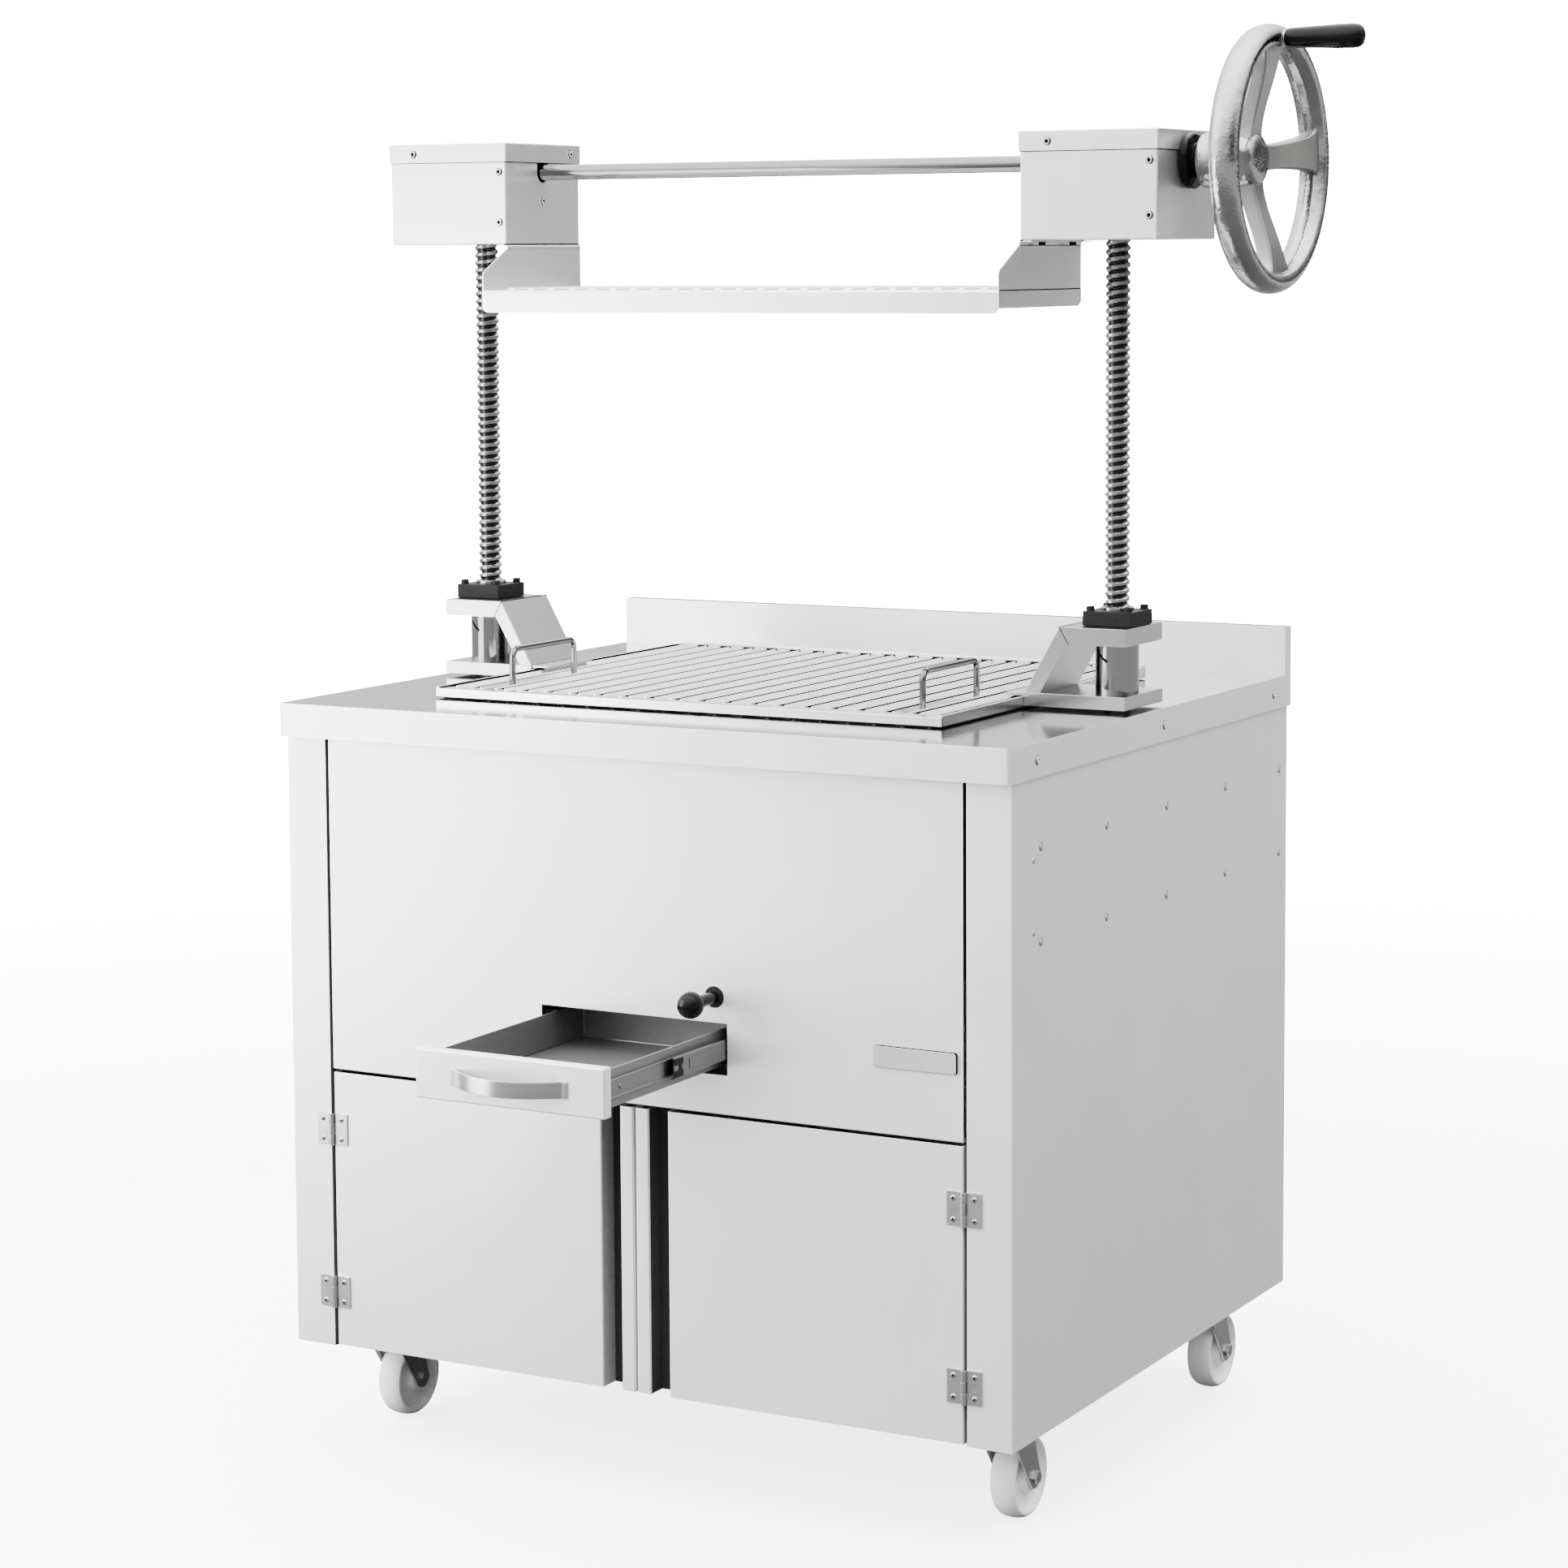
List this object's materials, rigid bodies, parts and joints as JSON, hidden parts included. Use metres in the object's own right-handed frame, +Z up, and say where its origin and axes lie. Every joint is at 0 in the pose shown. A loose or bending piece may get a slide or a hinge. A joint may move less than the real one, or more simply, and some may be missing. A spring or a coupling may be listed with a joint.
{
  "type": "charcoal grill",
  "caption": "Mobile charcoal grill cabinet with doors, ash drawer and damper; a handwheel turns threaded columns that raise the cooking grate under a warming shelf.",
  "frame": {"origin": "on the floor under the middle of the worktop", "axes": "+Z up, +X to the right towards the handwheel, +Y to the back, so the doors face -Y"},
  "size_m": [1.2978, 1.1408, 1.745],
  "materials": {
    "stainless": "brushed",
    "polished_aluminium": "polished",
    "black_plastic": "glossy",
    "black_steel": "satin black",
    "screw_steel": "turned",
    "firebox_steel": "heat darkened",
    "zinc_steel": "zinc plated",
    "white_nylon": "satin",
    "gear_steel": "machined"
  },
  "bodies": {
    "cabinet": {"left_side_panel": "stainless", "right_side_panel": "stainless", "back_panel": "stainless", "base_plate": "stainless", "front_panel": "stainless", "worktop": "stainless", "firebox": "firebox_steel", "charcoal_grate": "firebox_steel", "drawer_carrier": "zinc_steel", "left_outer_rail": "zinc_steel", "right_outer_rail": "zinc_steel", "front_left_caster_plate": "zinc_steel", "front_right_caster_plate": "zinc_steel", "back_left_caster_plate": "zinc_steel", "back_right_caster_plate": "zinc_steel", "left_upper_frame_leaf": "zinc_steel", "left_lower_frame_leaf": "zinc_steel", "right_upper_frame_leaf": "zinc_steel", "right_lower_frame_leaf": "zinc_steel", "left_foot_bearing": "black_steel", "right_foot_bearing": "black_steel", "left_gear_housing": "stainless", "right_gear_housing": "stainless", "left_housing_lid": "stainless", "right_housing_lid": "stainless", "shaft_bearing": "black_plastic", "warming_shelf": "stainless"},
    "left_door_body": {"left_door": "stainless", "left_upper_door_leaf": "zinc_steel", "left_lower_door_leaf": "zinc_steel"},
    "right_door_body": {"right_door": "stainless", "right_upper_door_leaf": "zinc_steel", "right_lower_door_leaf": "zinc_steel"},
    "drawer": {"drawer_box": "zinc_steel", "drawer_front": "stainless", "drawer_handle": "stainless"},
    "drawer_rails": {"left_middle_rail": "zinc_steel", "right_middle_rail": "zinc_steel"},
    "damper": {"damper_plate": "zinc_steel", "damper_knob": "black_plastic"},
    "drive": {"drive_shaft": "stainless", "left_shaft_gear": "gear_steel", "right_shaft_gear": "gear_steel", "handwheel": "polished_aluminium"},
    "grip": {"handwheel_grip": "black_plastic"},
    "left_screw_body": {"left_screw": "screw_steel"},
    "right_screw_body": {"right_screw": "screw_steel"},
    "carriage": {"grate": "stainless", "left_lift_nut": "black_steel", "right_lift_nut": "black_steel", "left_lift_bracket": "stainless", "right_lift_bracket": "stainless"},
    "front_left_fork_body": {"front_left_fork": "zinc_steel"},
    "front_left_wheel_body": {"front_left_wheel": "white_nylon"},
    "front_right_fork_body": {"front_right_fork": "zinc_steel"},
    "front_right_wheel_body": {"front_right_wheel": "white_nylon"},
    "back_left_fork_body": {"back_left_fork": "zinc_steel"},
    "back_left_wheel_body": {"back_left_wheel": "white_nylon"},
    "back_right_fork_body": {"back_right_fork": "zinc_steel"},
    "back_right_wheel_body": {"back_right_wheel": "white_nylon"}
  },
  "joints": [
    {"name": "left_door_hinge", "type": "hinge", "parent": "cabinet", "child": "left_door_body", "pos_m": [-0.4365, -0.4158, 0.3], "axis": [0, 0, -1], "range_deg": [0, 170]},
    {"name": "right_door_hinge", "type": "hinge", "parent": "cabinet", "child": "right_door_body", "pos_m": [0.4365, -0.4158, 0.3], "axis": [0, 0, 1], "range_deg": [0, 170]},
    {"name": "drawer_slide", "type": "slide", "parent": "cabinet", "child": "drawer", "axis": [0, -1, 0], "range_m": [-0.271, 0.109]},
    {"name": "middle_rail_slide", "type": "slide", "parent": "cabinet", "child": "drawer_rails", "axis": [0, -1, 0], "range_m": [-0.1355, 0.0545]},
    {"name": "damper_pull", "type": "slide", "parent": "cabinet", "child": "damper", "axis": [0, -1, 0], "range_m": [0, 0.15]},
    {"name": "handwheel_turn", "type": "hinge", "parent": "cabinet", "child": "drive", "pos_m": [0.643, -0.02, 1.588], "axis": [-1, 0, 0], "range_deg": [0, 14400]},
    {"name": "grip_spin", "type": "hinge", "parent": "drive", "child": "grip", "pos_m": [0.66, -0.02, 1.728], "axis": [1, 0, 0], "continuous": true},
    {"name": "left_screw_turn", "type": "hinge", "parent": "cabinet", "child": "left_screw_body", "pos_m": [-0.45, -0.02, 0.931], "axis": [0, 0, -1], "range_deg": [0, 14400]},
    {"name": "right_screw_turn", "type": "hinge", "parent": "cabinet", "child": "right_screw_body", "pos_m": [0.45, -0.02, 0.931], "axis": [0, 0, -1], "range_deg": [0, 14400]},
    {"name": "grate_lift", "type": "slide", "parent": "cabinet", "child": "carriage", "axis": [0, 0, 1], "range_m": [0, 0.4001]},
    {"name": "front_left_swivel", "type": "hinge", "parent": "cabinet", "child": "front_left_fork_body", "pos_m": [-0.433, -0.295, 0.1126], "axis": [0, 0, 1], "continuous": true},
    {"name": "front_left_wheel_spin", "type": "hinge", "parent": "front_left_fork_body", "child": "front_left_wheel_body", "pos_m": [-0.433, -0.261, 0.05], "axis": [1, 0, 0], "continuous": true},
    {"name": "front_right_swivel", "type": "hinge", "parent": "cabinet", "child": "front_right_fork_body", "pos_m": [0.433, -0.295, 0.1126], "axis": [0, 0, 1], "continuous": true},
    {"name": "front_right_wheel_spin", "type": "hinge", "parent": "front_right_fork_body", "child": "front_right_wheel_body", "pos_m": [0.433, -0.261, 0.05], "axis": [1, 0, 0], "continuous": true},
    {"name": "back_left_swivel", "type": "hinge", "parent": "cabinet", "child": "back_left_fork_body", "pos_m": [-0.433, 0.295, 0.1126], "axis": [0, 0, 1], "continuous": true},
    {"name": "back_left_wheel_spin", "type": "hinge", "parent": "back_left_fork_body", "child": "back_left_wheel_body", "pos_m": [-0.433, 0.329, 0.05], "axis": [1, 0, 0], "continuous": true},
    {"name": "back_right_swivel", "type": "hinge", "parent": "cabinet", "child": "back_right_fork_body", "pos_m": [0.433, 0.295, 0.1126], "axis": [0, 0, 1], "continuous": true},
    {"name": "back_right_wheel_spin", "type": "hinge", "parent": "back_right_fork_body", "child": "back_right_wheel_body", "pos_m": [0.433, 0.329, 0.05], "axis": [1, 0, 0], "continuous": true}
  ],
  "couplings": [
    {"joint": "middle_rail_slide", "follows": "drawer_slide", "ratio": 0.5},
    {"joint": "left_screw_turn", "follows": "handwheel_turn", "ratio": 1},
    {"joint": "right_screw_turn", "follows": "handwheel_turn", "ratio": 1},
    {"joint": "grate_lift", "follows": "handwheel_turn", "m_per_rad": 0.0015915}
  ]
}
